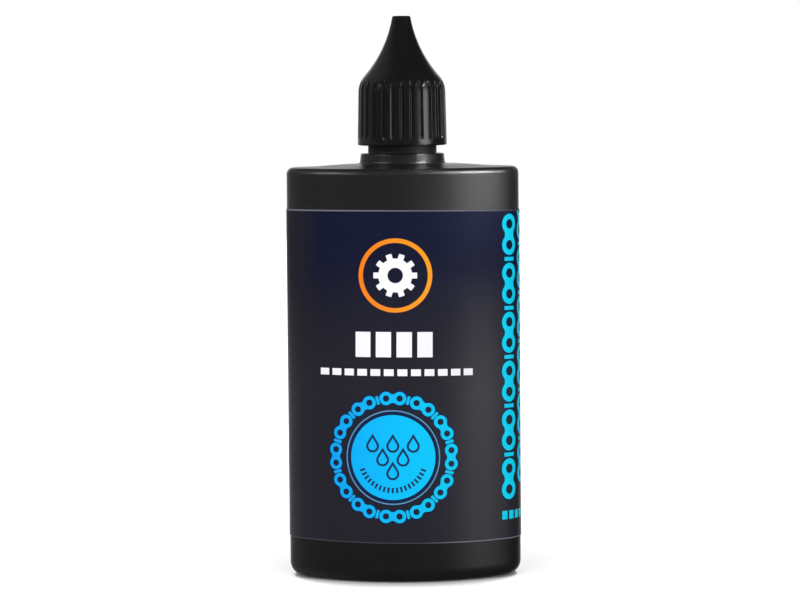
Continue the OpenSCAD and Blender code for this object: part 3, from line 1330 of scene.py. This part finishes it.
@dataclass
class Cap(SubAssembly):
    """The pointed screw cap: one ribbed sector, repeated round the axis, and the thread inside it."""

    body: str = "cap"
    low_z: float = 97.15
    tip_z: float = 126.1
    mouth_r: float = 10.05
    top_r: float = 9.8
    skirt_z: float = 109.0
    shoulder_r: float = 5.6
    flank_r: float = 26.8
    tip_r: float = 1.7
    tip_round: float = 0.4
    edge: float = 0.3
    bore_r: float = 9.0
    seat_z: float = 109.55
    land_r: float = 6.4
    hollow_r: float = 27.9
    hollow_z: float = 122.9
    pin_r: float = 0.45
    pin_z: float = 120.3
    grooves: int = 28
    groove_w: float = 1.0
    groove_depth: float = 0.42
    groove_z: float = 98.75
    groove_fade: tuple[float, float] = (15.0, 31.0)
    thread_z: float = 100.6
    thread_depth: float = 1.1

    @cached_property
    def centres(self) -> tuple[complex, complex, complex]:
        """Centres of the outside's arcs.

        Returns:
            Those of the shoulder's arc, the flank's hollow arc and the tip's rounding.
        """
        shoulder = complex(self.top_r - self.shoulder_r, self.skirt_z)
        tip = complex(self.tip_r, self.tip_z - self.tip_round)
        flank = meet(tip + self.tip_round, self.flank_r, shoulder, self.flank_r + self.shoulder_r)
        return shoulder, flank, tip

    def outside(self) -> tuple[Outline, list[complex], list[float]]:
        """The outside from the mouth's edge to the tip.

        Returns:
            Its points, the direction in which a groove cuts into each, and the groove's depth there.
        """
        shoulder, flank, tip = self.centres
        low = math.degrees(np.angle(flank - shoulder))
        high = math.degrees(math.asin((flank.imag - tip.imag) / self.flank_r))
        mouth = arc(complex(self.mouth_r - self.edge, self.low_z + self.edge), self.edge, -90, 0, 4)
        start_rows = np.linspace(self.groove_z - 0.25, self.groove_z + 0.5, 8)
        heights = np.array([self.low_z + 0.75, self.low_z + 1.15, *start_rows, *range(100, 109, 2)])
        taper = (self.mouth_r - self.top_r) / (self.skirt_z - self.low_z)
        skirt = list(self.mouth_r - taper * (heights - self.low_z) + 1j * heights)
        round_over = arc(shoulder, self.shoulder_r, 0, low, 20)
        spire = arc(flank, self.flank_r, 180 + low, 180 + high, 24)[1:]
        point = arc(tip, self.tip_round, 0, 90, 5) + [complex(1.2, self.tip_z), complex(0.6, self.tip_z)]
        outline = mouth + skirt + round_over + spire + point
        depths = []
        for p in outline:
            start = min(1.0, max(0.0, (p.imag - self.groove_z) / 0.4))
            slope = math.degrees(np.angle(p - shoulder)) if p.imag > self.skirt_z else 0.0
            fade_start, fade_end = self.groove_fade
            end = min(1.0, max(0.0, (fade_end - slope) / (fade_end - fade_start)))
            depths.append(self.groove_depth * math.sqrt(1 - (1 - start) ** 2) * end * end * (3 - 2 * end))
        inwards = [(shoulder - p) / abs(p - shoulder) if p.imag > self.skirt_z else -1 + 0j for p in outline]
        return outline, inwards, depths

    def inside(self) -> Outline:
        """The inside, as it is turned.

        Returns:
            Its points from the closing pin's end down to the mouth's edge.
        """
        _, flank, _ = self.centres
        low = math.degrees(math.acos((flank.real - self.land_r) / self.hollow_r))
        high = math.degrees(math.asin((flank.imag - self.hollow_z) / self.hollow_r))
        hollow = arc(flank, self.hollow_r, 180 + high, 180 + low, 12)
        pin = rounded([(0.2, self.pin_z, 0), (self.pin_r, self.pin_z, 0.15), (self.pin_r, self.hollow_z, 0.2),
                       (hollow[0].real, self.hollow_z, 0)], steps=3)
        seat = rounded([(hollow[-1].real, self.seat_z, 0), (self.bore_r, self.seat_z, 0.3),
                        (self.bore_r, self.low_z, 0.25), (self.mouth_r - self.edge, self.low_z, 0)], steps=4)
        return pin[:-1] + hollow + seat[1:]

    def sector(self) -> bpy.types.Object:
        """Makes one sector, with half a rib on each side of a groove.

        Returns:
            The sector, open where it meets its neighbours.
        """
        outline, inwards, depths = self.outside()
        pitch = 2 * math.pi / self.grooves
        half = pitch / 2 * self.mouth_r
        bend = [0, 0.12, 0.24, 0.36, 0.44, 0.5, 0.58, 0.75]
        across = np.array([-1.0] + [-b * self.groove_w / half for b in bend[:0:-1]] + [0.0]
                          + [b * self.groove_w / half for b in bend[1:]] + [1.0])
        shape = np.clip(1 - np.abs(across) * half / (self.groove_w / 2), 0, 1)
        shape = np.sin(shape * math.pi / 2) ** 1.15
        angles = across * pitch / 2
        rows = []
        for p, way, depth in zip(outline, inwards, depths):
            cut = p + way * depth * shape
            rows.append(np.column_stack((cut.real * np.cos(angles), cut.real * np.sin(angles), cut.imag)))
        rows += [circle(p.real, p.imag, angles) for p in self.inside()]
        count, outer = len(angles), len(outline)
        points = np.concatenate(rows + [np.array([[0, 0, self.tip_z], [0, 0, self.pin_z]])])
        top, pin = len(points) - 2, len(points) - 1
        order = list(range(outer, len(rows))) + list(range(outer))
        faces = [(a * count + j, a * count + j + 1, b * count + j + 1, b * count + j)
                 for a, b in zip(order, order[1:]) for j in range(count - 1)]
        last, first = outer - 1, outer
        faces += [(last * count + j, last * count + j + 1, top) for j in range(count - 1)]
        faces += [(pin, first * count + j + 1, first * count + j) for j in range(count - 1)]
        return solid("cap_sector", points, faces)

    def model_shell(self) -> bpy.types.Object:
        """Repeats the sector round the axis.

        Returns:
            The shell as one closed piece.
        """
        made = Modelled("cap_ribs")
        made.size("Count", self.grooves, "NodeSocketInt")
        made.size("Material", material_of(Finish.CAP), "NodeSocketMaterial")
        sector, count, material = made.inputs()
        graph = made.graph
        points = graph.node("GeometryNodePoints", {}, {"Count": count})[0]
        turn = graph.node("GeometryNodeInputIndex")[0] / count * (2 * math.pi)
        euler = graph.node("ShaderNodeCombineXYZ", {}, {0: 0.0, 1: 0.0, 2: turn})[0]
        rotation = graph.node("FunctionNodeEulerToRotation", {}, {0: euler})[0]
        copies = {"Points": points, "Instance": sector, "Rotation": rotation}
        made.finish(graph.node("GeometryNodeInstanceOnPoints", {}, copies)[0], material)
        return made.run(self.sector(), "cap_shell")

    def build(self) -> None:
        """Makes and places the shell and its inner thread."""
        self.place(self.model_shell(), Finish.CAP, "cap_plastic", "cap")
        thread = Thread(self.bore_r, self.thread_z, -self.thread_depth, root_w=1.4, sink=0.3)
        self.place(thread.model("cap_thread", Finish.CAP), Finish.CAP, "cap_plastic")


# studio


class Lights(Enum):
    """What a lamp lights: the colour of a surface or its gloss."""

    COLOUR = "colour"
    GLOSS = "gloss"


@dataclass
class Studio:
    """Camera, floor, background and lamps."""

    eye: Spot = (0.0, -763.0, 114.8)
    aim: Spot = (-0.8, 0.0, 62.2)
    lens: float = 152.5
    sensor: float = 36.0
    roll: float = -0.47
    floor: float = 1500.0
    foot: tuple[float, float] = (24.6, 16.0)
    room: float = 0.28

    def camera(self) -> None:
        """Camera at the photograph's place, without shift."""
        data = bpy.data.cameras.new("camera")
        data.lens, data.sensor_width, data.sensor_fit = self.lens, self.sensor, "HORIZONTAL"
        data.clip_start, data.clip_end = 0.01, 20.0
        camera = linked("camera", data)
        eye, aim = Vector(self.eye) * MM, Vector(self.aim) * MM
        camera.rotation_mode = "QUATERNION"
        level = (aim - eye).to_track_quat("-Z", "Y")
        camera.rotation_quaternion = level @ Quaternion((0, 0, 1), math.radians(self.roll))
        camera.location = eye
        bpy.context.scene.camera = camera

    def lamp(
        self, name: str, place: Spot, aim: Spot, size: tuple[float, float], watts: float, lights: Lights,
        spread: float = 180.0,
    ) -> None:
        """Soft box.

        Args:
            name: name of the lamp.
            place: its middle, in millimetres.
            aim: point that it faces.
            size: width and height in millimetres.
            watts: power.
            lights: what the box lights.
            spread: degrees over which its grid lets light out.
        """
        data = bpy.data.lights.new(name, "AREA")
        data.shape, data.size, data.size_y, data.energy = "RECTANGLE", size[0] * MM, size[1] * MM, watts
        data.spread = math.radians(spread)
        lamp = linked(name, data)
        lamp.location = Vector(place) * MM
        lamp.rotation_euler = (Vector(aim) - Vector(place)).to_track_quat("-Z", "Y").to_euler()
        lamp.visible_camera = False
        lamp.visible_glossy, lamp.visible_diffuse = lights is Lights.GLOSS, lights is Lights.COLOUR

    def ground(self) -> None:
        """White floor with the bottle's shadow, partly cast and partly painted, which stays out of the black
        plastic's gloss.
        """
        corners = np.array([(-1, -1, 0), (1, -1, 0), (1, 1, 0), (-1, 1, 0)]) * self.floor
        floor = solid("floor", corners, [(0, 1, 2, 3)])
        made = bpy.data.materials.new("white_floor")
        graph = Graph.fresh(made)
        path = graph.node("ShaderNodeLightPath")
        x, y, _ = graph.split(graph.node("ShaderNodeTexCoord")[3])
        radius = x.hypot(y)
        # the gap is how far a point of the floor lies outside the bottle's foot
        gap = radius - radius / ((x / self.foot[0]).hypot(y / self.foot[1]) / MM)
        # the floor turns white from 0.3 mm out, over 0.6 mm at the sides and up to 6 mm in front and behind;
        # closer in, the missing glow is a painted shadow
        painted_shadow_fade = ((gap - 0.0003) / (y * y * 17 + 0.0006).smaller(0.006)).clamp()
        away = ((radius - 0.03) / 0.12).clamp()
        card = graph.node("ShaderNodeBsdfDiffuse", {}, {0: (0.9, 0.9, 0.9)})[0]
        glow = graph.node("ShaderNodeEmission", {}, {0: (1.0, 1.0, 1.0), 1: painted_shadow_fade * 0.54 + away * 0.55})[0]
        seen = graph.node("ShaderNodeAddShader", {}, {0: card, 1: glow})[0]
        clear = graph.node("ShaderNodeBsdfTransparent")[0]
        shown = graph.node("ShaderNodeMixShader", {}, {0: path[0], 1: card, 2: seen})[0]
        shader = graph.node("ShaderNodeMixShader", {}, {0: path[3], 1: shown, 2: clear})[0]
        graph.node("ShaderNodeOutputMaterial", {}, {0: shader})
        floor.data.materials.append(made)

    def background(self) -> None:
        """White backdrop for the camera, a narrower one for gloss, and a plain grey room."""
        world = bpy.data.worlds.new("room")
        bpy.context.scene.world = world
        graph = Graph.fresh(world)
        path = graph.node("ShaderNodeLightPath")
        x, y, _ = graph.split(graph.node("ShaderNodeTexCoord")[0])
        # directions: the backdrop stands behind the bottle, and a dim wall on its left
        backdrop = ((y - 0.80) / 0.14).clamp()
        side = ((-x - 0.25) / 0.3).clamp() * ((y + 0.4) / 0.5).clamp()
        shine = backdrop.larger(side * 0.22) * 0.9 + 0.06
        white = path[0].larger(path[6])
        strength = white + (1 - white) * (path[3] * shine + (1 - path[3]) * self.room)
        light = graph.node("ShaderNodeBackground", {}, {0: (1.0, 1.0, 1.0), 1: strength})[0]
        graph.node("ShaderNodeOutputWorld", {}, {0: light})

    def build(self) -> None:
        """Sets up the studio."""
        self.camera()
        self.ground()
        self.background()
        middle = (0.0, 0.0, 62.0)
        self.lamp("side_box", (171.0, -97.0, 108.0), (0.0, 0.0, 104.0), (98.0, 100.0), 0.08, Lights.GLOSS)
        self.lamp("low_box", (690.0, -400.0, 10.0), middle, (400.0, 420.0), 0.7, Lights.GLOSS)
        for side, watts in ((1, 0.02), (-1, 0.003)):
            place, shoulder = (129.0 * side, -73.0, 169.0), (20.0 * side, -11.0, 91.5)
            self.lamp(f"edge_{side}", place, shoulder, (90.0, 30.0), watts, Lights.GLOSS, spread=13.0)
        self.lamp("fill_left", (-470.0, -670.0, 440.0), middle, (700.0, 700.0), 4.0, Lights.COLOUR)
        self.lamp("fill_right", (300.0, -750.0, 460.0), middle, (700.0, 700.0), 4.0, Lights.COLOUR)
        bpy.context.scene.view_settings.view_transform = "Standard"


def main() -> None:
    """Builds the bottle's pieces and the studio."""
    logging.basicConfig(level=logging.INFO, format="%(name)s: %(message)s")
    for assembly in (Bottle(), Dropper(), Cap()):
        assembly.build()
    Studio().build()


if __name__ == "__main__":
    main()
